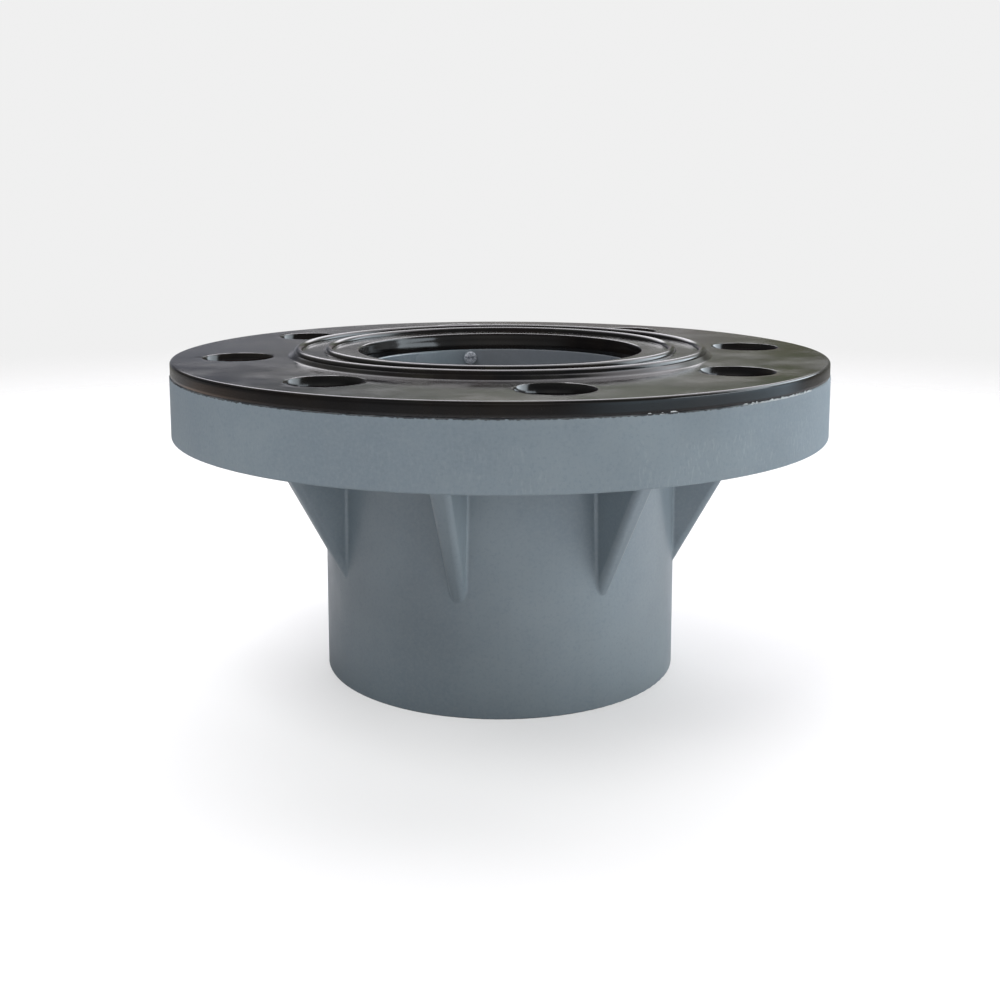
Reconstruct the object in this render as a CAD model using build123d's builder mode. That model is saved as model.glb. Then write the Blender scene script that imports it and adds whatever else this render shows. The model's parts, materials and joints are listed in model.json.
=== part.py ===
from build123d import *
from math import cos, radians, sin, tan
import os

# A solvent-welded pipe flange for 90 mm pipe, with its loose full-face rubber gasket.
# Millimetres. +Z runs up the bore, from the pipe end, which is the foot, to the sealing face.
# The origin is the centre of the foot, on which the flange stands.

# Socket for the pipe, and the stop that the pipe meets
socket_diameter = 90.3
socket_depth = 82.0
lead_in_length = 3.0
lead_in_width = 1.2
stop_thickness = 11.3
stop_edge_radius = 0.8

# Waterway through the stop, drafted towards the sealing face
waterway_diameter = 84.6
waterway_draft = 0.7
face_edge_radius = 0.6

# Hub
hub_wall = 9.35
foot_edge_radius = 0.4
hub_root_radius = 3.0

# Flange disc and its bolt holes
bolt_circle_diameter = 160.0
bolt_count = 8
bolt_hole_diameter = 18.0
bolt_hole_chamfer = 0.5
rim_beyond_bolts = 20.0
rim_edge_radius = 0.5
flange_thickness = 18.6

# Gusset ribs, one midway between each two bolt holes: as thick as this at the disc, and
# drafted so that they narrow towards the foot
rib_thickness = 6.2
rib_draft = 1.3
rib_reach = 22.5
rib_height = 41.2
rib_nose_flat = 0.2
rib_root_radius = 1.0
rib_overlap = 4.0

# Trimmed gate that the mould leaves on the waterway wall
gate_diameter = 4.4
gate_stub = 1.1
gate_below_face = 2.9
gate_angle = 116.5

# Gasket, with a raised sealing land and two beads round the bore
gasket_thickness = 4.0
gasket_rim_inset = 0.2
gasket_bore_clearance = 0.6
gasket_hole_clearance = 1.3
gasket_edge_radius = 0.5
land_rise = 1.2
land_slope = 1.5
inner_bead_from_bore = 9.3
outer_bead_from_inner = 9.2
bead_width = 2.8
bead_height = 1.35

# Places worked out from the sizes above
body_height = socket_depth + stop_thickness
flange_back = body_height - flange_thickness
socket_radius = socket_diameter / 2
hub_radius = socket_radius + hub_wall
bolt_circle_radius = bolt_circle_diameter / 2
flange_radius = bolt_circle_radius + rim_beyond_bolts
stop_bore_radius = waterway_diameter / 2
face_bore_radius = stop_bore_radius + waterway_draft
first_hole_angle = 180 / bolt_count

# Two places nearer than this are one place
same_place = 0.001


# The circular edges of a part that have one radius and lie at one height
def rings(part, radius, height):
    circles = part.edges().filter_by(GeomType.CIRCLE)
    return circles.filter_by(
        lambda edge: abs(edge.radius - radius) < same_place
        and abs(edge.arc_center.Z - height) < same_place
    )


# One rib: a drafted gusset in the XZ plane, let into hub and disc, with its free edge rounded
rib_lean = rib_reach / rib_height
rib_drop = rib_height + rib_overlap / rib_lean
rib_end_thickness = rib_thickness - 2 * rib_drop * tan(radians(rib_draft))
with BuildPart() as rib:
    with BuildSketch(Plane.XZ):
        with BuildLine():
            Polyline(
                (hub_radius - rib_overlap, flange_back + rib_overlap),
                (hub_radius + rib_reach + rib_overlap * rib_lean, flange_back + rib_overlap),
                (hub_radius - rib_overlap, flange_back - rib_drop),
                close=True,
            )
        make_face()
    extrude(amount=rib_thickness / 2, both=True)
    draft(rib.faces().filter_by(Axis.Y), Plane.XY.offset(flange_back), -rib_draft)
    free_face = rib.faces().sort_by(Axis((0, 0, 0), (rib_height, 0, -rib_reach)))[-1]
    sides = free_face.edges().filter_by(Axis.Y, reverse=True)
    fillet(sides, radius=(rib_end_thickness - rib_nose_flat) / 2)

# Flange body: hub, disc, socket, stop, waterway and ribs are one moulding
with BuildPart() as flange_body:
    with BuildSketch(Plane.XZ):
        with BuildLine():
            Polyline(
                (socket_radius + lead_in_width, 0),
                (hub_radius, 0),
                (hub_radius, flange_back),
                (flange_radius, flange_back),
                (flange_radius, body_height),
                (face_bore_radius, body_height),
                (stop_bore_radius, socket_depth),
                (socket_radius, socket_depth),
                (socket_radius, lead_in_length),
                close=True,
            )
        make_face()
    revolve(axis=Axis.Z)
    fillet(rings(flange_body, hub_radius, flange_back), radius=hub_root_radius)
    fillet(rings(flange_body, hub_radius, 0), radius=foot_edge_radius)
    fillet(rings(flange_body, flange_radius, flange_back), radius=rim_edge_radius)
    fillet(rings(flange_body, flange_radius, body_height), radius=rim_edge_radius)
    fillet(rings(flange_body, stop_bore_radius, socket_depth), radius=stop_edge_radius)
    fillet(rings(flange_body, face_bore_radius, body_height), radius=face_edge_radius)

    # Ribs, each blended into hub and disc along its root
    turned_body = flange_body.part
    with PolarLocations(0, bolt_count):
        add(rib.part)
    rib_roots = flange_body.edges(Select.NEW).filter_by(
        lambda edge: turned_body.distance_to(edge @ 0.5) < same_place
    )
    fillet(rib_roots, radius=rib_root_radius)

    # Bolt holes, straddling the X and Y axes
    with Locations((0, 0, body_height)):
        with PolarLocations(bolt_circle_radius, bolt_count, start_angle=first_hole_angle):
            Hole(bolt_hole_diameter / 2, depth=flange_thickness)
    chamfer(rings(flange_body, bolt_hole_diameter / 2, flange_back), length=bolt_hole_chamfer)
    chamfer(rings(flange_body, bolt_hole_diameter / 2, body_height), length=bolt_hole_chamfer)

    # Gate vestige, a short round stub that points at the axis
    gate_outward = Vector(cos(radians(gate_angle)), sin(radians(gate_angle)), 0)
    gate_tip = gate_outward * (face_bore_radius - gate_stub)
    gate_tip += Vector(0, 0, body_height - gate_below_face)
    with BuildSketch(Plane(origin=gate_tip, z_dir=gate_outward)):
        Circle(gate_diameter / 2)
    extrude(amount=2 * gate_stub)

flange_body.part.label = "flange_body"

# Gasket: a flat ring under the bolts, and a land with two beads round the bore
gasket_radius = flange_radius - gasket_rim_inset
gasket_bore_radius = face_bore_radius + gasket_bore_clearance
gasket_hole_radius = bolt_hole_diameter / 2 + gasket_hole_clearance
gasket_top = body_height + gasket_thickness
land_top = gasket_top + land_rise
inner_bead = gasket_bore_radius + inner_bead_from_bore
outer_bead = inner_bead + outer_bead_from_inner
with BuildPart() as gasket:
    with BuildSketch(Plane.XZ):
        with BuildLine():
            land_edge = outer_bead + bead_width / 2
            Polyline(
                (land_edge, land_top),
                (land_edge + land_slope, gasket_top),
                (gasket_radius, gasket_top),
                (gasket_radius, body_height),
                (gasket_bore_radius, body_height),
                (gasket_bore_radius, land_top),
                (inner_bead - bead_width / 2, land_top),
            )
            Line((inner_bead + bead_width / 2, land_top), (outer_bead - bead_width / 2, land_top))
            for bead in (inner_bead, outer_bead):
                ThreePointArc(
                    (bead - bead_width / 2, land_top),
                    (bead, land_top + bead_height),
                    (bead + bead_width / 2, land_top),
                )
        make_face()
    revolve(axis=Axis.Z)
    fillet(rings(gasket, gasket_radius, gasket_top), radius=gasket_edge_radius)
    fillet(rings(gasket, gasket_radius, body_height), radius=gasket_edge_radius)
    fillet(rings(gasket, gasket_bore_radius, land_top), radius=gasket_edge_radius)
    with Locations((0, 0, gasket_top)):
        with PolarLocations(bolt_circle_radius, bolt_count, start_angle=first_hole_angle):
            Hole(gasket_hole_radius, depth=gasket_thickness)
    fillet(rings(gasket, gasket_hole_radius, gasket_top), radius=gasket_edge_radius)

gasket.part.label = "gasket"

os.makedirs("parts", exist_ok=True)
export_step(flange_body.part, "parts/flange_body.step")
export_step(gasket.part, "parts/gasket.step")
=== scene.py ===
import json
import math
import bpy
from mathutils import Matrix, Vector, noise


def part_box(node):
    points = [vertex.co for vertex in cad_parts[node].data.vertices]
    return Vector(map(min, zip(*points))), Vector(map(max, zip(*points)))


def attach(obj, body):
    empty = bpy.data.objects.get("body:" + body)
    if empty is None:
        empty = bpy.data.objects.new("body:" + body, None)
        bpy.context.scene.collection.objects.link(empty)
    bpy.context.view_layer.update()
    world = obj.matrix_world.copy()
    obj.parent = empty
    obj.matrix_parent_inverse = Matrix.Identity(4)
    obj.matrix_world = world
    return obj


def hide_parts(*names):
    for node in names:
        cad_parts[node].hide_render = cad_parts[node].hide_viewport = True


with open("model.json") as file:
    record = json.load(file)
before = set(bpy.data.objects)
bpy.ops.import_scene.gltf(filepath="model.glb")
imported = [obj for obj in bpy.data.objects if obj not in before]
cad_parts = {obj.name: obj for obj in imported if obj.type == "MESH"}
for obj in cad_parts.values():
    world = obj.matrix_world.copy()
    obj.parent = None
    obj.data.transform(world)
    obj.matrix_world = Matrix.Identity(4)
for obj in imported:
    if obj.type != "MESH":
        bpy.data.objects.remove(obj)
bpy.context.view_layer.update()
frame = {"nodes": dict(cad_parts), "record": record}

mm = 0.001
mounts = {mount["name"]: mount for mount in frame["record"]["mounts"]}
boltCircle = mounts["bolt_circle"]["dims"]["pcd_mm"] / 2 * mm
boltCount = mounts["bolt_circle"]["dims"]["count"]
boltPitch = 2 * math.pi / boltCount
boltHole = mounts["bolt_circle"]["dims"]["hole_r_mm"] * mm
socketRadius = mounts["socket_bore"]["dims"]["r_mm"] * mm
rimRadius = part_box("flange_body")[1].x
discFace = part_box("flange_body")[1].z                # the plastic's face, under the gasket
gasketFlat = mounts["sealing_face"]["pos_m"][2]      # the gasket's flat, under its beads
print("frame loaded: rim", round(rimRadius, 4), "face", round(discFace, 4))


# Modelling helpers

def clearSelection():
    if bpy.context.object and bpy.context.object.mode != "OBJECT":
        bpy.ops.object.mode_set(mode="OBJECT")
    bpy.ops.object.select_all(action="DESELECT")


def workOn(piece):
    clearSelection()
    piece.select_set(True)
    bpy.context.view_layer.objects.active = piece


def pickVerts(piece, wanted):
    # leaves edit mode with only the wanted vertices selected
    workOn(piece)
    bpy.ops.object.mode_set(mode="EDIT")
    bpy.ops.mesh.select_mode(type="VERT")
    bpy.ops.mesh.select_all(action="DESELECT")
    bpy.ops.object.mode_set(mode="OBJECT")
    for vert in piece.data.vertices:
        vert.select = wanted(vert.co)
    bpy.ops.object.mode_set(mode="EDIT")


def dropRing(radius, height, segments, name, fill="NOTHING"):
    clearSelection()
    bpy.ops.mesh.primitive_circle_add(
        vertices=segments, radius=radius, location=(0, 0, height), fill_type=fill
    )
    piece = bpy.context.object
    piece.name = name
    bpy.ops.object.transform_apply(location=True, rotation=True, scale=True)
    bpy.ops.object.mode_set(mode="EDIT")
    bpy.ops.mesh.select_all(action="SELECT")
    return piece


def runProfile(points, start):
    # draws the selected ring out along the profile, one extrusion for each point
    radius, height = start
    for nextRadius, nextHeight in points:
        bpy.ops.mesh.extrude_region_move(
            TRANSFORM_OT_translate={"value": (0, 0, nextHeight - height)}
        )
        grow = nextRadius / radius
        bpy.ops.transform.resize(value=(grow, grow, 1), center_override=(0, 0, 0))
        radius, height = nextRadius, nextHeight


def applyAll(piece):
    workOn(piece)
    for name in [modifier.name for modifier in piece.modifiers]:
        bpy.ops.object.modifier_apply(modifier=name)


def tidyShell(piece, seam=0.001 * mm):
    # closes seams and turns every face outwards
    workOn(piece)
    bpy.ops.object.mode_set(mode="EDIT")
    bpy.ops.mesh.select_all(action="SELECT")
    bpy.ops.mesh.remove_doubles(threshold=seam)
    bpy.ops.mesh.normals_make_consistent(inside=False)
    bpy.ops.object.mode_set(mode="OBJECT")


def smoothOver(piece, degrees):
    workOn(piece)
    bpy.ops.object.shade_smooth_by_angle(angle=math.radians(degrees))


def rounded(centre, radius, startTurn, endTurn, steps):
    # points of an arc in the profile plane, turns in degrees
    turns = [math.radians(startTurn + (endTurn - startTurn) * i / steps) for i in range(steps + 1)]
    return [(centre[0] + radius * math.cos(t), centre[1] + radius * math.sin(t)) for t in turns]


# Gasket: the loose rubber ring, wavy towards its rim as a sheet that has not been bolted down

gasketForm = {
    "segments": 288,
    "boreRadius": 43.1 * mm,
    "boreFlare": ((1.0, 0.04), (2.2, 0.15), (3.2, 0.34), (4.1, 0.56)),      # height, spread in mm
    "mouthRound": 0.5 * mm,
    "mouthSet": 1.05,                                # its centre beyond the flare, in its own radii
    "mouthArc": (162, 90, 5),                        # degrees from and to, steps
    "mouthRings": (0.3 * mm, 3 * mm),
    "landRise": 1.2 * mm,
    "landSlope": 1.5 * mm,
    "landCurve": ((0.12, 0.06), (0.3, 0.26), (0.6, 0.62), (0.82, 0.88), (0.95, 0.97), (1.08, 1.0),
                  (1.3, 1.0)),                       # share of the slope's width, of its drop
    "landLip": 0.06 * mm,
    "beadCentres": (52.9 * mm, 62.1 * mm),
    "beadHalfWidth": 1.4 * mm,
    "beadRise": 1.35 * mm,
    "beadSteps": 14,
    "beadFullness": 0.55,                            # at 0.5 the section is an ellipse
    "rootBlend": 0.25 * mm,
    "rootRise": 0.08 * mm,
    "flatRings": 13,
    "flatMargins": (1.6 * mm, 1.2 * mm),             # kept clear beside the slope and the rim
    "outerRadius": rimRadius - 0.2 * mm,
    "rimRound": 0.8 * mm,
    "rimArc": (90, 0, 7),
    "footRound": 0.12 * mm,
    "footArc": (0, -90, 3),
    "sideRings": (1.5 * mm, 0.8 * mm),               # below the flat, above the foot
    "underRings": (90 * mm, 70 * mm),
    "holeRadius": boltHole + 0.7 * mm,
    "holeSides": 96,
    "holeFlare": ((3.0, 0.04), (2.2, 0.15), (1.5, 0.32), (0.9, 0.52), (0.5, 0.7), (0.25, 0.83),
                  (0.08, 0.93), (0.0, 1.0)),         # depth, spread in mm
    "punchFoot": 1 * mm,
    "punchHead": ((0.07, 0.35), (0.4, 0.8), (2.0, 0.8)),                    # height, spread in mm
    "lift": 0.16 * mm,
    "liftSize": 45 * mm,
    "liftLevel": 0.1,
    "liftReach": (70 * mm, 99 * mm),                 # calm inside the first, free at the second
    "liftRun": 1.5,
    "seam": 0.002 * mm,
    "smoothAngle": 32,
}


def beadPoints(form, centre, top):
    half, blend, root = form["beadHalfWidth"], form["rootBlend"], top + form["rootRise"]
    points = [(centre - half - blend * 2, top), (centre - half - blend, top), (centre - half, root)]
    for i in range(1, form["beadSteps"]):
        across = -math.cos(math.pi * i / form["beadSteps"])
        rise = form["beadRise"] * (1 - across * across) ** form["beadFullness"]
        points.append((centre + across * half, top + rise))
    return points + [(centre + half, root), (centre + half + blend, top), (centre + half + blend * 2, top)]


def gasketProfile(form):
    # up the bore, out over the land and the flat, down the rim and back underneath
    bore, outer, top = form["boreRadius"], form["outerRadius"], gasketFlat + form["landRise"]
    points = [(bore + spread * mm, discFace + height * mm) for height, spread in form["boreFlare"]]
    edge = form["mouthRound"]
    mouth = bore + form["boreFlare"][-1][1] * mm + edge * form["mouthSet"]
    points += rounded((mouth, top - edge), edge, *form["mouthArc"])
    points += [(mouth + ring, top) for ring in form["mouthRings"]]
    for centre in form["beadCentres"]:
        points += beadPoints(form, centre, top)

    # the outer bead stands at the land's edge, so its outer root gives way to the slope
    landEdge = form["beadCentres"][1] + form["beadHalfWidth"]
    points = points[:-3] + [(landEdge, top + form["landLip"])]
    points += [(landEdge + form["landSlope"] * share, top - form["landRise"] * drop)
               for share, drop in form["landCurve"]]
    firstFlat = landEdge + form["landSlope"] + form["flatMargins"][0]
    lastFlat = outer - form["flatMargins"][1]
    points += [(firstFlat + (lastFlat - firstFlat) * i / (form["flatRings"] - 1), gasketFlat)
               for i in range(form["flatRings"])]
    edge, foot = form["rimRound"], form["footRound"]
    points += rounded((outer - edge, gasketFlat - edge), edge, *form["rimArc"])
    points += [(outer, gasketFlat - form["sideRings"][0]), (outer, discFace + form["sideRings"][1])]
    points += rounded((outer - foot, discFace + foot), foot, *form["footArc"])
    return points + [(ring, discFace) for ring in form["underRings"]] + [(bore, discFace)]


def holePunch(form):
    # one punch with a flared lip, then a copy of it for each hole, all joined
    foot = (form["holeRadius"], discFace - form["punchFoot"])
    steps = [(form["holeRadius"] + spread * mm, gasketFlat - depth * mm)
             for depth, spread in form["holeFlare"]]
    widest = steps[-1][0]
    steps += [(widest + spread * mm, gasketFlat + height * mm) for height, spread in form["punchHead"]]
    punch = dropRing(*foot, form["holeSides"], "punch", "NGON")
    runProfile(steps, foot)
    tidyShell(punch)
    copies = []
    for i in range(boltCount):
        turn = (i + 0.5) * boltPitch
        workOn(punch)
        bpy.ops.object.duplicate()
        bpy.ops.transform.translate(value=(boltCircle * math.cos(turn), boltCircle * math.sin(turn), 0))
        bpy.ops.object.transform_apply(location=True, rotation=True, scale=True)
        copies.append(bpy.context.object)
    bpy.data.objects.remove(punch)
    clearSelection()
    for copied in copies:
        copied.select_set(True)
    bpy.context.view_layer.objects.active = copies[0]
    bpy.ops.object.join()
    return bpy.context.object


def buildGasket(form):
    start = (form["boreRadius"], discFace)
    ring = dropRing(*start, form["segments"], "gasketRubber")
    runProfile(gasketProfile(form), start)
    tidyShell(ring)

    # the rim lifts a little here and there, the land under the beads lies flat
    lifted = ring.vertex_groups.new(name="lifted")
    calm, free = form["liftReach"]
    for vert in ring.data.vertices:
        reach = (math.hypot(vert.co.x, vert.co.y) - calm) / (free - calm)
        lifted.add([vert.index], max(0.0, min(1.0, reach)) ** form["liftRun"], "REPLACE")
    clouds = bpy.data.textures.new("gasketWave", "CLOUDS")
    clouds.noise_scale = form["liftSize"]
    clouds.noise_depth = 0
    wave = ring.modifiers.new("wave", "DISPLACE")
    wave.texture = clouds
    wave.texture_coords = "LOCAL"
    wave.direction = "Z"
    wave.mid_level = form["liftLevel"]
    wave.strength = form["lift"]
    wave.vertex_group = "lifted"
    applyAll(ring)
    ring.vertex_groups.clear()

    punch = holePunch(form)
    cut = ring.modifiers.new("holes", "BOOLEAN")
    cut.operation = "DIFFERENCE"
    cut.solver = "EXACT"
    cut.object = punch
    applyAll(ring)
    bpy.data.objects.remove(punch)
    tidyShell(ring, form["seam"])
    smoothOver(ring, form["smoothAngle"])
    return ring


gasketRubber = buildGasket(gasketForm)
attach(gasketRubber, "root")
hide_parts("gasket")
print("gasket modelled,", len(gasketRubber.data.vertices), "vertices")


# Burr: the thin edge that the rim's trimming left standing beside the gasket, in four runs; its pale colour
# is a painted highlight

burrForm = {
    "segments": 1900,                  # steps round the whole rim, a third of a millimetre each
    "radius": rimRadius - 0.1 * mm,
    "foot": discFace - 0.6 * mm,
    "runs": ((-57, -51), (-40, -20), (96, 118), (171, 186)),                # degrees from +X
    "low": 0.36 * mm,
    "teeth": 0.66 * mm,
    "pitch": 1.1 * mm,
    "toothSteps": ((0.5, 1.0, 0.0), (0.3, 0.55, 0.05), (0.2, 2.3, -0.05)),  # share, pitches, level
    "endSteps": ((1.2, 0.3), (2.6, 0.2), (4.2, 0.15)),                      # degrees, share of low
    "thick": 0.08 * mm,
    "seam": 0.0001 * mm,
}


def turnOf(spot):
    return math.degrees(math.atan2(spot.y, spot.x))


def buildBurr(form):
    ring = dropRing(form["radius"], form["foot"], form["segments"], "rimBurr")
    bpy.ops.mesh.extrude_region_move(TRANSFORM_OT_translate={"value": (0, 0, form["low"])})
    upper = form["foot"] + form["low"] / 3           # only the upper edge lies above this
    pickVerts(ring, lambda spot: not any(low <= turnOf(spot) <= high for low, high in form["runs"]))
    bpy.ops.mesh.delete(type="VERT")

    # teeth rise where the noise is high, and each run dies away at its two ends
    for share, pitches, level in form["toothSteps"]:
        pickVerts(ring, lambda spot: spot.z > upper
                  and noise.noise(spot / (form["pitch"] * pitches)) > level)
        bpy.ops.transform.translate(value=(0, 0, form["teeth"] * share))
    ends = [end for run in form["runs"] for end in run]
    for margin, share in form["endSteps"]:
        pickVerts(ring, lambda spot: spot.z > upper
                  and any(abs(turnOf(spot) - end) < margin for end in ends))
        bpy.ops.transform.translate(value=(0, 0, -form["low"] * share))
    bpy.ops.object.mode_set(mode="OBJECT")
    wall = ring.modifiers.new("wall", "SOLIDIFY")
    wall.thickness = form["thick"]
    wall.offset = 0
    applyAll(ring)
    tidyShell(ring, form["seam"])
    return ring


# Gate break: the torn end of the stub in the waterway

gateForm = {
    "turn": 116.5,                     # degrees from +X
    "fromAxis": 41.9 * mm,
    "height": discFace - 2.9 * mm,
    "radius": 2.16 * mm,
    "sides": 28,
    "rooted": 0.1 * mm,                # how far it starts inside the stub
    "wall": 0.16 * mm,
    "steps": ((0.35 * mm, 0.12 * mm), (0.75 * mm, 0.1 * mm)),               # inset, rise
    "tornFrom": 0.12 * mm,
    "torn": 0.22 * mm,
    "seed": 11,
    "ledgeFrom": 0.3 * mm,             # above the middle
    "ledge": 0.3 * mm,
    "smoothAngle": 10,
}


def buildGate(form):
    turn = math.radians(form["turn"])
    reach = form["fromAxis"] + form["rooted"]
    clearSelection()
    bpy.ops.mesh.primitive_circle_add(
        vertices=form["sides"], radius=form["radius"], fill_type="NGON",
        location=(reach * math.cos(turn), reach * math.sin(turn), form["height"]),
        rotation=(math.pi / 2, 0, turn - math.pi / 2),
    )
    stub = bpy.context.object
    stub.name = "gateBreak"
    bpy.ops.object.transform_apply(location=True, rotation=True, scale=True)
    inward = Vector((-math.cos(turn), -math.sin(turn), 0))
    bpy.ops.object.mode_set(mode="EDIT")
    bpy.ops.mesh.select_all(action="SELECT")
    bpy.ops.mesh.extrude_region_move(TRANSFORM_OT_translate={"value": inward * form["wall"]})
    for step, rise in form["steps"]:
        bpy.ops.mesh.inset(thickness=step, depth=0)
        bpy.ops.transform.translate(value=inward * rise)
    bpy.ops.mesh.poke()

    # the end is torn uneven, and its upper part stands out as a ledge
    tornRadius = form["fromAxis"] - form["tornFrom"]
    pickVerts(stub, lambda spot: spot.xy.length < tornRadius)
    bpy.ops.mesh.subdivide(number_cuts=1)
    bpy.ops.transform.vertex_random(offset=form["torn"], uniform=0.0, normal=0.0, seed=form["seed"])
    pickVerts(stub, lambda spot: spot.xy.length < tornRadius
              and spot.z > form["height"] + form["ledgeFrom"])
    bpy.ops.transform.translate(value=inward * form["ledge"])
    bpy.ops.object.mode_set(mode="OBJECT")
    tidyShell(stub)
    smoothOver(stub, form["smoothAngle"])
    return stub


rimBurr = buildBurr(burrForm)
gateBreak = buildGate(gateForm)
for piece in (rimBurr, gateBreak):
    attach(piece, "root")
print("burr and gate modelled")


# Shader helpers

def feed(tree, socket, value):
    # a link where the value is another node's socket, and else a plain setting
    if isinstance(value, bpy.types.NodeSocket):
        tree.links.new(value, socket)
    else:
        socket.default_value = value


def addNode(tree, kind, inputs=None, **settings):
    made = tree.nodes.new("ShaderNode" + kind)
    for name, value in settings.items():
        setattr(made, name, value)
    for name, value in (inputs or {}).items():
        feed(tree, made.inputs[name], value)
    return made


def calc(tree, operation, first, second=0.0, third=0.0):
    made = addNode(tree, "Math", {0: first, 1: second, 2: third}, operation=operation)
    return made.outputs[0]


def between(tree, value, low, high, start=0.0, end=1.0):
    made = addNode(tree, "MapRange", {"Value": value, "From Min": low, "From Max": high,
                                      "To Min": start, "To Max": end}, interpolation_type="SMOOTHSTEP")
    return made.outputs["Result"]


def within(tree, places, edges):
    # the overlap of soft edges, each one a place's name and the levels it fades between
    mask = None
    for name, *levels in edges:
        soft = between(tree, places[name], *levels)
        mask = soft if mask is None else calc(tree, "MULTIPLY", mask, soft)
    return mask


def tint(tree, factor, first, second):
    made = addNode(tree, "Mix", {0: factor, 6: first, 7: second}, data_type="RGBA")
    return made.outputs[2]


def speckle(tree, where, size, detail=3.0, rough=0.5, dimensions="3D"):
    # noise whose features are about that size in metres
    made = addNode(tree, "TexNoise", {"Vector": where, "Scale": 1 / size, "Detail": detail,
                                      "Roughness": rough}, noise_dimensions=dimensions)
    return made.outputs["Fac"]


def stretched(tree, where, scale, degrees=0.0):
    made = addNode(tree, "Mapping", {"Vector": where, "Rotation": (0, 0, math.radians(degrees)),
                                     "Scale": scale})
    return made.outputs[0]


def newGroup(name, inputs, outputs):
    group = bpy.data.node_groups.new(name, "ShaderNodeTree")
    for title, value in inputs:
        socket = group.interface.new_socket(title, in_out="INPUT", socket_type="NodeSocketFloat")
        socket.default_value = value
    for title in outputs:
        group.interface.new_socket(title, in_out="OUTPUT", socket_type="NodeSocketFloat")
    return group, group.nodes.new("NodeGroupInput").outputs, group.nodes.new("NodeGroupOutput").inputs


def useGroup(tree, group, **values):
    made = tree.nodes.new("ShaderNodeGroup")
    made.node_tree = group
    for name, value in values.items():
        feed(tree, made.inputs[name], value)
    return made.outputs


def magnified(tree, size):
    # the piece's own coordinates, scaled so that one unit is that many millimetres
    spot = addNode(tree, "TexCoord").outputs["Object"]
    made = addNode(tree, "VectorMath", {0: spot}, operation="SCALE")
    feed(tree, made.inputs["Scale"], calc(tree, "DIVIDE", 1 / mm, size))
    return made.outputs[0]


def lengthOf(tree, first, second):
    squares = [calc(tree, "MULTIPLY", part, part) for part in (first, second)]
    return calc(tree, "SQRT", calc(tree, "ADD", *squares))


# Shared effects

# places round the bore axis: turn from the front towards +X, distance from the axis, height
aroundBore, inside, outside = newGroup("aroundBore", [], ["turn", "radius", "height"])
spot = addNode(aroundBore, "TexCoord").outputs["Object"]
split = addNode(aroundBore, "SeparateXYZ", {"Vector": spot}).outputs
front = calc(aroundBore, "MULTIPLY", split["Y"], -1.0)
feed(aroundBore, outside["turn"], calc(aroundBore, "ARCTAN2", split["X"], front))
feed(aroundBore, outside["radius"], lengthOf(aroundBore, split["X"], split["Y"]))
feed(aroundBore, outside["height"], split["Z"])

# distance from the nearest bolt axis: the turn is folded into one pitch
nearBolt, inside, outside = newGroup("nearBolt", [("circle", 0.08), ("pitch", 0.7854)], ["distance"])
place = useGroup(nearBolt, aroundBore)
forward = calc(nearBolt, "ADD", place["turn"], 4 * math.pi)
folded = calc(nearBolt, "SUBTRACT", calc(nearBolt, "MODULO", forward, inside["pitch"]),
              calc(nearBolt, "MULTIPLY", inside["pitch"], 0.5))
aside = calc(nearBolt, "MULTIPLY", place["radius"], calc(nearBolt, "SINE", folded))
ahead = calc(nearBolt, "MULTIPLY", place["radius"], calc(nearBolt, "COSINE", folded))
ahead = calc(nearBolt, "SUBTRACT", ahead, inside["circle"])
feed(nearBolt, outside["distance"], lengthOf(nearBolt, aside, ahead))

# rubbed edges, as wide as given in mm and broken up by fine noise
edgeRub, inside, outside = newGroup("edgeRub", [("width", 0.6), ("grain", 1.42857)], ["mask"])
softNormal = addNode(edgeRub, "Bevel", {"Radius": calc(edgeRub, "MULTIPLY", inside["width"], mm)}, samples=4)
sharpNormal = addNode(edgeRub, "NewGeometry").outputs["Normal"]
same = addNode(edgeRub, "VectorMath", {0: softNormal.outputs[0], 1: sharpNormal}, operation="DOT_PRODUCT")
bent = between(edgeRub, calc(edgeRub, "SUBTRACT", 1.0, same.outputs["Value"]), 0.01, 0.16)
fine = speckle(edgeRub, magnified(edgeRub, inside["grain"]), 1.0, 4.0, 0.6)
feed(edgeRub, outside["mask"], calc(edgeRub, "MULTIPLY", bent, between(edgeRub, fine, 0.38, 0.62)))

# mould grain as a height in metres: fine sand over a slow swell, all given in mm
mouldGrain, inside, outside = newGroup(
    "mouldGrain", [("sand", 0.35), ("depth", 0.006), ("swell", 0.0)], ["height"])
sand = speckle(mouldGrain, magnified(mouldGrain, inside["sand"]), 1.0, 2.0, 0.55)
swell = speckle(mouldGrain, addNode(mouldGrain, "TexCoord").outputs["Object"], 14 * mm, 2.0, 0.5)
total = calc(mouldGrain, "ADD", calc(mouldGrain, "MULTIPLY", sand, inside["depth"]),
             calc(mouldGrain, "MULTIPLY", swell, inside["swell"]))
feed(mouldGrain, outside["height"], calc(mouldGrain, "MULTIPLY", total, mm))

# dust and handling film in patches of that size in mm, thicker where the surface looks up
lyingDust, inside, outside = newGroup("lyingDust", [("size", 6.0), ("upward", 0.7)], ["mask"])
patch = speckle(lyingDust, magnified(lyingDust, inside["size"]), 1.0, 3.5, 0.52)
patch = between(lyingDust, patch, 0.36, 0.72)
normal = addNode(lyingDust, "NewGeometry").outputs["Normal"]
upper = between(lyingDust, addNode(lyingDust, "SeparateXYZ", {"Vector": normal}).outputs["Z"], 0.1, 0.9)
kept = calc(lyingDust, "ADD", calc(lyingDust, "SUBTRACT", 1.0, inside["upward"]),
            calc(lyingDust, "MULTIPLY", inside["upward"], upper))
feed(lyingDust, outside["mask"], calc(lyingDust, "MULTIPLY", patch, kept))
print("shared effects ready")


# Grey plastic

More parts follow.
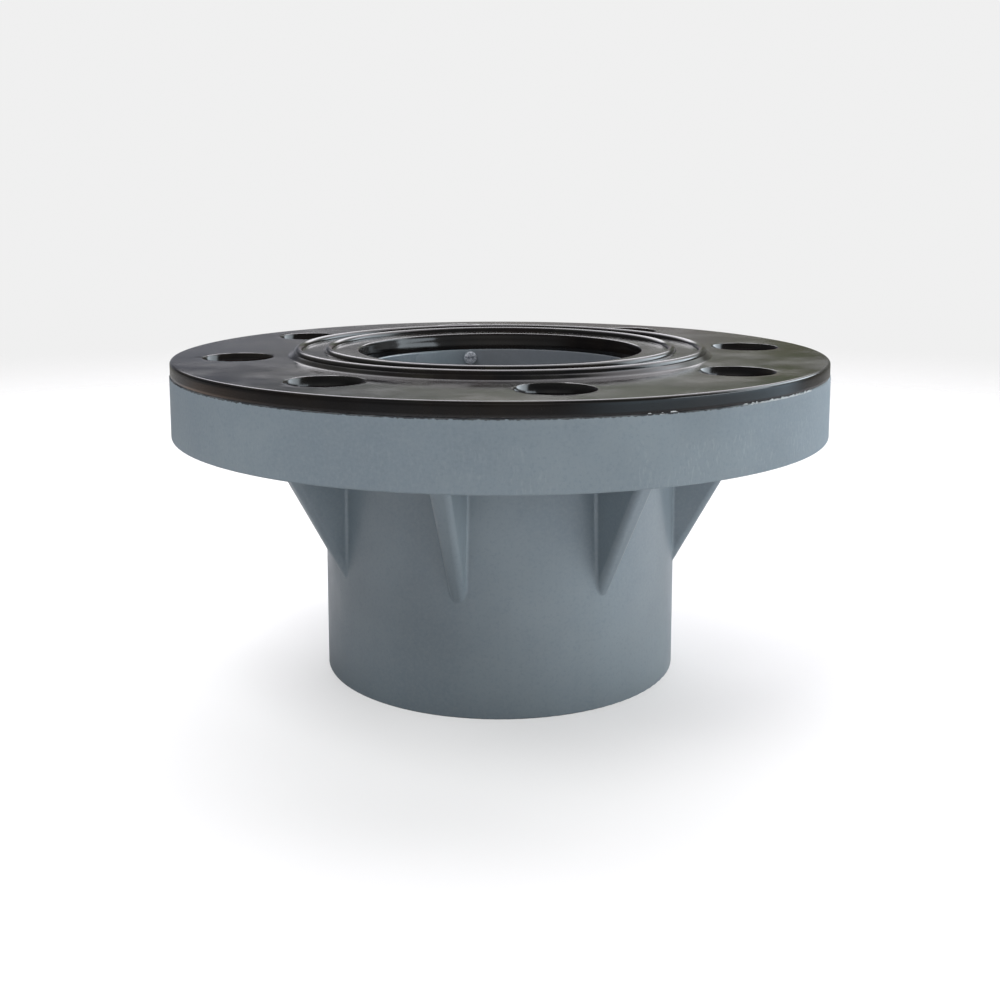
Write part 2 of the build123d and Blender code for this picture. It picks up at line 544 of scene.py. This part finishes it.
plasticLook = {
    "grey": (0.203, 0.25, 0.286, 1),
    "paler": (0.232, 0.282, 0.315, 1),
    "deeper": (0.178, 0.223, 0.257, 1),
    "streakShare": 0.12,
    "paleFlecks": 0.6,
    "deepFlecks": 0.45,
    "rubbed": (0.38, 0.44, 0.48, 1),
    "rubbedShare": 0.4,
    "tearShare": 0.2,
    "tearDepth": 0.032 * mm,
    "dust": (0.33, 0.35, 0.35, 1),
    "dustShare": 0.3,
    # painted shadow for the gap under the gasket
    "grime": (0.05, 0.054, 0.06, 1),
    # painted shade for the waterway's wall
    "film": (0.1, 0.095, 0.103, 1),
    "ringDepth": 0.02 * mm,
    "streakDepth": 0.001 * mm,
    "roughness": 0.34,
    "rimRoughness": 0.72,
    "smear": (-0.05, 0.07),
    "dustDull": 0.15,
    "boreShine": 0.04,
    "sheen": 0.5,
    # the painted shadow band under the gasket loses its specular too
    "lineSheen": 0.05,
    "ior": 1.53,
}
# the burr's pale colours are a painted highlight along the rim's edge
burrHighlightLook = dict(plasticLook, grey=(0.5, 0.55, 0.57, 1), paler=(0.68, 0.71, 0.72, 1),
                deeper=(0.42, 0.47, 0.5, 1), rubbed=(0.8, 0.82, 0.82, 1))
breakLook = dict(plasticLook, grey=(0.3, 0.32, 0.36, 1), paler=(0.48, 0.5, 0.54, 1),
                 deeper=(0.2, 0.215, 0.25, 1))

# soft edges: the name of a place, and the levels that the mask fades between
onRim = ("radius", rimRadius - 1.3 * mm, rimRadius - 0.5 * mm)
onBack = ("height", discFace - 6.1 * mm, discFace - 7.3 * mm)
inBore = ("radius", socketRadius + 1.05 * mm, socketRadius + 0.65 * mm)
plasticZones = {
    "rim": [onRim],
    "rimBack": [onRim, onBack],
    "rimEdges": [("radius", rimRadius - 4 * mm, rimRadius - 2 * mm)],
    "footEdges": [("height", 4 * mm, 2 * mm)],
    "holeEdges": [("bolt", boltHole + 1.2 * mm, boltHole + 0.9 * mm)],
    "holeWall": [("bolt", boltHole + 0.35 * mm, boltHole + 0.1 * mm)],
    "bore": [inBore],
    # painted shade on the waterway's wall, lighter on the -X side
    "film": [inBore, ("height", 78 * mm, 84 * mm), ("radius", 42.0 * mm, 42.3 * mm),
             ("rightward", -0.65, -0.3, 0.15, 0.65)],
    # a nicked band of painted shadow under the gasket's edge, left off on the right
    "line": [("nicked", discFace - 0.02 * mm, discFace + 0.18 * mm), onRim, ("turn", 1.05, 0.75),
             ("height", discFace + 0.06 * mm, discFace)],
    "tears": [("tear", 0.54, 0.7), ("patches", 0.38, 0.6), onRim, onBack,
              ("rightward", -0.1, 0.5, 0.35, 1.0)],
}


def plasticPlaces(tree):
    # where a point lies on the moulding, and the noises that its marks are cut from
    around = useGroup(tree, aroundBore)
    at = {name: around[name] for name in ("turn", "radius", "height")}
    at["spot"] = addNode(tree, "TexCoord").outputs["Object"]
    at["bolt"] = useGroup(tree, nearBolt, circle=boltCircle, pitch=boltPitch)["distance"]
    at["rightward"] = calc(tree, "SINE", at["turn"])
    at["arc"] = calc(tree, "MULTIPLY", at["turn"], rimRadius)
    at["unrolled"] = addNode(tree, "CombineXYZ", {"X": at["arc"], "Y": at["height"]}).outputs[0]
    nick = speckle(tree, at["unrolled"], 1.6 * mm, 3.0, 0.65, "2D")
    at["nicked"] = calc(tree, "MULTIPLY_ADD", nick, 0.9 * mm, at["height"])
    slanted = stretched(tree, at["unrolled"], (1.0, 0.3, 1.0), -42)
    at["tear"] = speckle(tree, slanted, 0.75 * mm, 2.0, 0.55, "2D")
    at["patches"] = speckle(tree, at["spot"], 16 * mm, 3.0, 0.6)
    upright = stretched(tree, at["unrolled"], (1.0, 0.09, 1.0))
    at["streak"] = speckle(tree, upright, 5 * mm, 4.0, 0.6, "2D")
    return at


def plasticColor(tree, look, at, zones, dust):
    # mottle, faint upright streaks and flecks
    cloud = speckle(tree, at["spot"], 38 * mm, 3.0, 0.55)
    color = tint(tree, between(tree, cloud, 0.35, 0.7), look["grey"], look["paler"])
    streak = between(tree, at["streak"], 0.45, 0.75, 0.0, look["streakShare"])
    color = tint(tree, streak, color, look["deeper"])
    fleck = speckle(tree, at["spot"], 0.9 * mm, 3.0, 0.7)
    color = tint(tree, between(tree, fleck, 0.46, 0.68, 0.0, look["paleFlecks"]), color, look["paler"])
    color = tint(tree, between(tree, fleck, 0.48, 0.32, 0.0, look["deepFlecks"]), color, look["deeper"])

    # outer edges are rubbed pale, but not the ribs' roots
    edges = calc(tree, "MAXIMUM", zones["rimEdges"], zones["footEdges"])
    edges = calc(tree, "MAXIMUM", edges, zones["holeEdges"])
    rubbed = calc(tree, "MULTIPLY", useGroup(tree, edgeRub, width=0.7)["mask"], edges)
    color = tint(tree, calc(tree, "MULTIPLY", rubbed, look["rubbedShare"]), color, look["rubbed"])

    # painted shade on the waterway's wall, a nicked band of painted shadow under the gasket, dust and pale
    # tears
    color = tint(tree, zones["film"], color, look["film"])
    color = tint(tree, zones["line"], color, look["grime"])
    color = tint(tree, calc(tree, "MULTIPLY", dust, look["dustShare"]), color, look["dust"])
    return tint(tree, calc(tree, "MULTIPLY", zones["tears"], look["tearShare"]), color, look["rubbed"])


def plasticHeight(tree, look, at, zones):
    # grain, coarser on the rim's back; tears; and fine rings that the tool left in the holes
    grain = useGroup(tree, mouldGrain, sand=0.42, depth=0.009, swell=0.02)["height"]
    coarse = useGroup(tree, mouldGrain, sand=0.55, depth=0.022, swell=0.0)["height"]
    ringSpot = addNode(tree, "CombineXYZ", {"X": at["height"], "Y": calc(tree, "MULTIPLY", at["arc"], 0.05)})
    rings = speckle(tree, ringSpot.outputs[0], 0.5 * mm, 2.0, 0.5, "2D")
    height = calc(tree, "ADD", grain, calc(tree, "MULTIPLY", coarse, zones["rimBack"]))
    height = calc(tree, "MULTIPLY_ADD", zones["tears"], -look["tearDepth"], height)
    rings = calc(tree, "MULTIPLY", zones["holeWall"], rings)
    height = calc(tree, "MULTIPLY_ADD", rings, look["ringDepth"], height)
    offRim = calc(tree, "MULTIPLY", look["streakDepth"], calc(tree, "SUBTRACT", 1.0, zones["rim"]))
    return calc(tree, "MULTIPLY_ADD", at["streak"], offRim, height)


def plasticMaterial(name, look):
    material = bpy.data.materials.new(name)
    material.use_nodes = True
    tree = material.node_tree
    shader = tree.nodes["Principled BSDF"]
    at = plasticPlaces(tree)
    zones = {title: within(tree, at, edges) for title, edges in plasticZones.items()}
    dust = useGroup(tree, lyingDust, size=5.0, upward=0.85)["mask"]
    color = plasticColor(tree, look, at, zones, dust)
    height = plasticHeight(tree, look, at, zones)
    bump = addNode(tree, "Bump", {"Height": height, "Distance": 1.0, "Strength": 1.0})
    smear = between(tree, speckle(tree, at["spot"], 22 * mm, 4.0, 0.6), 0.35, 0.7, *look["smear"])
    rough = between(tree, zones["rim"], 0.0, 1.0, look["roughness"], look["rimRoughness"])
    rough = calc(tree, "ADD", smear, rough)
    rough = calc(tree, "MULTIPLY_ADD", dust, look["dustDull"], rough)
    rough = calc(tree, "MULTIPLY_ADD", zones["bore"], -look["boreShine"], rough)
    # less specular along the painted shadow band under the gasket
    sheen = between(tree, zones["line"], 0.0, 1.0, look["sheen"], look["lineSheen"])
    feed(tree, shader.inputs["Base Color"], color)
    feed(tree, shader.inputs["Roughness"], rough)
    feed(tree, shader.inputs["Normal"], bump.outputs[0])
    feed(tree, shader.inputs["Specular IOR Level"], sheen)
    shader.inputs["IOR"].default_value = look["ior"]
    return material


# Black rubber

rubberLook = {
    "black": (0.0042, 0.004, 0.0044, 1),
    "brown": (0.009, 0.0065, 0.0052, 1),
    "bloom": (0.05, 0.052, 0.036, 1),
    "bloomShare": 0.24,
    "fleckShare": 0.08,
    # pale rubbed lips: partly real wear, partly a painted highlight along the rim edge and hole lips
    "rubbed": (0.22, 0.215, 0.21, 1),
    "rubbedShare": 0.35,
    "scuffDepth": 0.003 * mm,
    "roughness": 0.13,
    "smear": (-0.04, 0.05),
    "bloomDull": 0.03,
    "ior": 1.32,
}
rubberZones = {
    "rimEdge": [("radius", rimRadius - 1.5 * mm, rimRadius - 1 * mm)],
    "holeLips": [("bolt", boltHole + 2.4 * mm, boltHole + 2 * mm)],
}


def rubberMaterial(name, look):
    material = bpy.data.materials.new(name)
    material.use_nodes = True
    tree = material.node_tree
    shader = tree.nodes["Principled BSDF"]
    spot = addNode(tree, "TexCoord").outputs["Object"]
    at = {"radius": useGroup(tree, aroundBore)["radius"],
          "bolt": useGroup(tree, nearBolt, circle=boltCircle, pitch=boltPitch)["distance"]}
    zones = {title: within(tree, at, edges) for title, edges in rubberZones.items()}

    # black to brown, with a thin greenish bloom, and rubbed lips whose pale colour is partly real wear and
    # partly a painted highlight
    cloud = speckle(tree, spot, 30 * mm, 4.0, 0.6)
    color = tint(tree, between(tree, cloud, 0.42, 0.7), look["black"], look["brown"])
    bloom = useGroup(tree, lyingDust, size=13.0, upward=0.9)["mask"]
    color = tint(tree, calc(tree, "MULTIPLY", bloom, look["bloomShare"]), color, look["bloom"])
    fleck = between(tree, speckle(tree, spot, 0.8 * mm, 3.0, 0.7), 0.58, 0.8)
    color = tint(tree, calc(tree, "MULTIPLY", fleck, look["fleckShare"]), color, look["bloom"])
    edges = calc(tree, "MAXIMUM", zones["rimEdge"], zones["holeLips"])
    rubbed = calc(tree, "MULTIPLY", useGroup(tree, edgeRub, width=0.5)["mask"], edges)
    color = tint(tree, calc(tree, "MULTIPLY", rubbed, look["rubbedShare"]), color, look["rubbed"])

    # fine grain, shallow scuffs and an uneven gloss
    grain = useGroup(tree, mouldGrain, sand=0.5, depth=0.0025, swell=0.014)["height"]
    scuff = speckle(tree, stretched(tree, spot, (0.12, 1.0, 1.0), 24), 0.9 * mm, 3.0, 0.6)
    height = calc(tree, "MULTIPLY_ADD", between(tree, scuff, 0.6, 0.74), -look["scuffDepth"], grain)
    bump = addNode(tree, "Bump", {"Height": height, "Distance": 1.0, "Strength": 1.0})
    smear = between(tree, speckle(tree, spot, 18 * mm, 4.0, 0.62), 0.35, 0.7, *look["smear"])
    rough = calc(tree, "ADD", smear, look["roughness"])
    rough = calc(tree, "MULTIPLY_ADD", bloom, look["bloomDull"], rough)
    feed(tree, shader.inputs["Base Color"], color)
    feed(tree, shader.inputs["Roughness"], rough)
    feed(tree, shader.inputs["Normal"], bump.outputs[0])
    shader.inputs["IOR"].default_value = look["ior"]
    return material


greyPlastic = plasticMaterial("greyPlastic", plasticLook)
for slot in frame["nodes"]["flange_body"].material_slots:
    slot.material = greyPlastic
for piece, finish in ((gasketRubber, rubberMaterial("blackRubber", rubberLook)),
                      # the burr's pale plastic paints the highlight along the rim's edge
                      (rimBurr, plasticMaterial("palePlastic", burrHighlightLook)),
                      (gateBreak, plasticMaterial("brokenPlastic", breakLook))):
    piece.data.materials.clear()
    piece.data.materials.append(finish)
print("materials ready")


# Stage: a pale floor that fades into the background

floorForm = {
    "radius": 2.4,
    "sides": 96,
    "insets": (0.8, 0.9),
    "paper": (0.46, 0.46, 0.46, 1),
    "paperDark": (0.4531, 0.4531, 0.4531, 1),
    "roughness": 0.85,
    "sheen": 0.2,
    "glow": (0.48, 0.48, 0.48, 1),           # lifts the floor to a pale tone for the camera alone
    "rightGlare": (0.78, 0.84, 0.9, 1),      # what glossy surfaces see of the floor near the window
    "leftGlare": (0.62, 0.34, 0.15, 1),      # and far out on the other side
    "rightZone": [("windowward", 0.04, 0.15), ("radius", 0.45, 0.22, 0.35, 1.0)],
    "leftZone": [("X", -0.3, -0.45), ("Y", 0.3, 0.1), ("Y", -0.35, -0.1)],
    "fade": [("radius", 0.3, 0.95)],
}


def buildFloor(form):
    floor = dropRing(form["radius"], 0, form["sides"], "floor", "NGON")
    for inset in form["insets"]:
        bpy.ops.mesh.inset(thickness=inset)
    bpy.ops.object.mode_set(mode="OBJECT")
    material = bpy.data.materials.new("palePaper")
    material.use_nodes = True
    tree = material.node_tree
    shader = tree.nodes["Principled BSDF"]
    spot = addNode(tree, "TexCoord").outputs["Object"]
    way = addNode(tree, "SeparateXYZ", {"Vector": spot}).outputs
    at = {"X": way["X"], "Y": way["Y"],
          "windowward": calc(tree, "MULTIPLY_ADD", way["Y"], -0.75, way["X"]),
          "radius": addNode(tree, "VectorMath", {0: spot}, operation="LENGTH").outputs["Value"]}
    grain = between(tree, speckle(tree, spot, 50 * mm, 3.0, 0.5), 0.3, 0.7)
    feed(tree, shader.inputs["Base Color"], tint(tree, grain, form["paper"], form["paperDark"]))
    shader.inputs["Roughness"].default_value = form["roughness"]
    shader.inputs["Specular IOR Level"].default_value = form["sheen"]

    # the camera sees an even glow, and glossy surfaces see the two glares
    path = addNode(tree, "LightPath").outputs
    glare = tint(tree, within(tree, at, form["rightZone"]), (0, 0, 0, 1), form["rightGlare"])
    glare = tint(tree, within(tree, at, form["leftZone"]), glare, form["leftGlare"])
    feed(tree, shader.inputs["Emission Color"], tint(tree, path["Is Camera Ray"], glare, form["glow"]))
    seen = calc(tree, "MAXIMUM", path["Is Camera Ray"], path["Is Glossy Ray"])
    feed(tree, shader.inputs["Emission Strength"], seen)
    clear = addNode(tree, "BsdfTransparent")
    faded = addNode(tree, "MixShader", {0: within(tree, at, form["fade"]), 1: shader.outputs[0],
                                        2: clear.outputs[0]})
    feed(tree, tree.nodes["Material Output"].inputs["Surface"], faded.outputs[0])
    floor.data.materials.append(material)
    return floor


# The room: what lights the flange from all round, and what its gloss mirrors

roomForm = {
    "backdrop": (0.87, 0.87, 0.87, 1),       # what the camera sees
    "frontLeft": (0.58, 0.58, 0.58, 1),
    "frontRight": (1.08, 1.07, 1.05, 1),
    "leftRoom": (0.06, 0.058, 0.06, 1),
    "rightRoom": (0.78, 0.8, 0.82, 1),
    "ceiling": (0.2, 0.2, 0.21, 1),
    "backLow": ((0.32, 0.33, 0.37, 1), (0.3, 0.27, 0.29, 1), (0.13, 0.125, 0.06, 1)),
    "backHigh": ((0.13, 0.138, 0.165, 1), (0.265, 0.285, 0.24, 1), (0.072, 0.098, 0.042, 1)),
    "backEnd": (0.19, 0.19, 0.17, 1),
    "skylight": (4.4, 4.3, 4.5, 1),          # draws the pale lines along the beads
    "skyLow": (1.3, 1.35, 1.35, 1),
    "underRoom": (0.42, 0.42, 0.42, 1),
    "underGloss": (0.22, 0.22, 0.22, 1),
    "underRight": (1.7, 2.15, 2.5, 1),       # what the gasket's edge mirrors low on the right
    "pane": (7.0, 7.8, 8.4, 1),              # the window, as the gloss shows it
}
roomZones = {
    # soft edges again, here of the parts of a direction; the front is at -Y
    "right": [("X", -0.7, 0.7)],
    "frontRight": [("X", -0.5, 0.5)],
    "pastFront": [("Y", -0.95, -0.5)],
    "ceiling": [("Z", 0.12, 0.45)],
    "backMiddle": [("X", -0.45, -0.2)],
    "backRight": [("X", -0.1, 0.05)],
    "backHigh": [("Z", 0.1, 0.13)],
    "backEnd": [("X", 0.0, 0.05)],
    "back": [("Y", 0.55, 0.85), ("Z", 0.8, 0.6)],
    "sky": [("Z", 0.22, 0.32), ("Y", 0.12, 0.35), ("sideways", 0.7, 0.4)],
    "skyLow": [("X", 0.05, 0.2), ("Z", 0.62, 0.42)],
    "below": [("Z", 0.0, -0.04)],
    "belowBack": [("Y", 0.5, 0.8)],
    "belowRight": [("X", 0.5, 0.85), ("Y", 0.75, 0.45)],
    "highPane": [("X", 0.42, 0.56), ("Z", 0.18, 0.24), ("Z", 0.8, 0.5), ("Y", 0.1, 0.3)],
    "lowPane": [("X", 0.92, 0.94), ("Z", -0.03, -0.01), ("Z", 0.24, 0.2)],
}


def buildRoom(form):
    world = bpy.data.worlds.new("studio")
    bpy.context.scene.world = world
    world.use_nodes = True
    tree = world.node_tree
    tree.nodes.clear()
    way = addNode(tree, "SeparateXYZ", {"Vector": addNode(tree, "TexCoord").outputs["Generated"]}).outputs
    at = {"X": way["X"], "Y": way["Y"], "Z": way["Z"], "sideways": calc(tree, "ABSOLUTE", way["X"])}
    zones = {title: within(tree, at, edges) for title, edges in roomZones.items()}
    path = addNode(tree, "LightPath").outputs

    # eye level: dim on the left, light in front and on the right, and patchy behind
    room = tint(tree, zones["right"], form["leftRoom"], form["rightRoom"])
    front = tint(tree, zones["frontRight"], form["frontLeft"], form["frontRight"])
    room = tint(tree, zones["pastFront"], front, room)
    room = tint(tree, zones["ceiling"], room, form["ceiling"])
    rows = []
    for left, middle, right in (form["backLow"], form["backHigh"]):
        row = tint(tree, zones["backMiddle"], left, middle)
        rows.append(tint(tree, zones["backRight"], row, right))
    behind = tint(tree, zones["backEnd"], tint(tree, zones["backHigh"], *rows), form["backEnd"])
    room = tint(tree, zones["back"], room, behind)

    # above to the back, then below the horizon
    sky = tint(tree, zones["skyLow"], form["skylight"], form["skyLow"])
    room = tint(tree, zones["sky"], room, sky)
    below = tint(tree, path["Is Glossy Ray"], form["underRoom"], form["underGloss"])
    below = tint(tree, zones["belowBack"], below, form["backEnd"])
    mirrored = calc(tree, "MULTIPLY", zones["belowRight"], path["Is Glossy Ray"])
    below = tint(tree, mirrored, below, form["underRight"])
    room = tint(tree, zones["below"], room, below)

    # the window's panes: high ones behind on the right, a low one beside
    pane = calc(tree, "MAXIMUM", zones["highPane"], zones["lowPane"])
    room = tint(tree, calc(tree, "MULTIPLY", pane, path["Is Glossy Ray"]), room, form["pane"])
    around = addNode(tree, "Background", {"Color": room, "Strength": 1.0})
    seen = addNode(tree, "Background", {"Color": form["backdrop"], "Strength": 1.0})
    both = addNode(tree, "MixShader", {0: path["Is Camera Ray"], 1: around.outputs[0], 2: seen.outputs[0]})
    feed(tree, addNode(tree, "OutputWorld").inputs["Surface"], both.outputs[0])


# Lights, which stay out of the gloss because the room's panes and skylight show there

lightSet = {
    "rightWindow": {"place": (1.2, 0.02, 0.2), "size": (0.8, 0.4), "watts": 5.1, "color": (1.0, 0.99, 0.96)},
    "overhead": {"place": (-0.34, -0.52, 1.13), "size": (0.7, 0.7), "watts": 10.0, "color": (1.0, 1.0, 1.0)},
}
lightAim = Vector((0, 0, 0.05))


def buildLight(name, form):
    clearSelection()
    bpy.ops.object.light_add(type="AREA", location=form["place"])
    light = bpy.context.object
    light.name = name
    light.rotation_euler = (lightAim - Vector(form["place"])).to_track_quat("-Z", "Y").to_euler()
    light.data.shape = "RECTANGLE"
    light.data.size, light.data.size_y = form["size"]
    light.data.energy = form["watts"]
    light.data.color = form["color"]
    light.visible_glossy = False


# Camera, where the photo was taken from

cameraSet = {
    "distance": 396.2 * mm,            # from the bore axis
    "height": 144.1 * mm,
    "turn": 12.5,                      # degrees from the front, towards +X
    "tilt": 8.0,                       # degrees down
    "lens": 46.1,
    "sensor": 36,
    "shift": -0.12,
    "nearest": 0.01,
}


def buildCamera(form):
    clearSelection()
    turn = math.radians(form["turn"])
    place = (form["distance"] * math.sin(turn), -form["distance"] * math.cos(turn), form["height"])
    bpy.ops.object.camera_add(location=place, rotation=(math.radians(90 - form["tilt"]), 0, turn))
    camera = bpy.context.object
    camera.name = "photoView"
    camera.data.lens = form["lens"]
    camera.data.sensor_width = form["sensor"]
    camera.data.shift_y = form["shift"]
    camera.data.clip_start = form["nearest"]
    bpy.context.scene.camera = camera


floor = buildFloor(floorForm)
buildRoom(roomForm)
for name, form in lightSet.items():
    buildLight(name, form)
buildCamera(cameraSet)
bpy.context.scene.view_settings.view_transform = "Standard"
print("stage ready")

clearSelection()
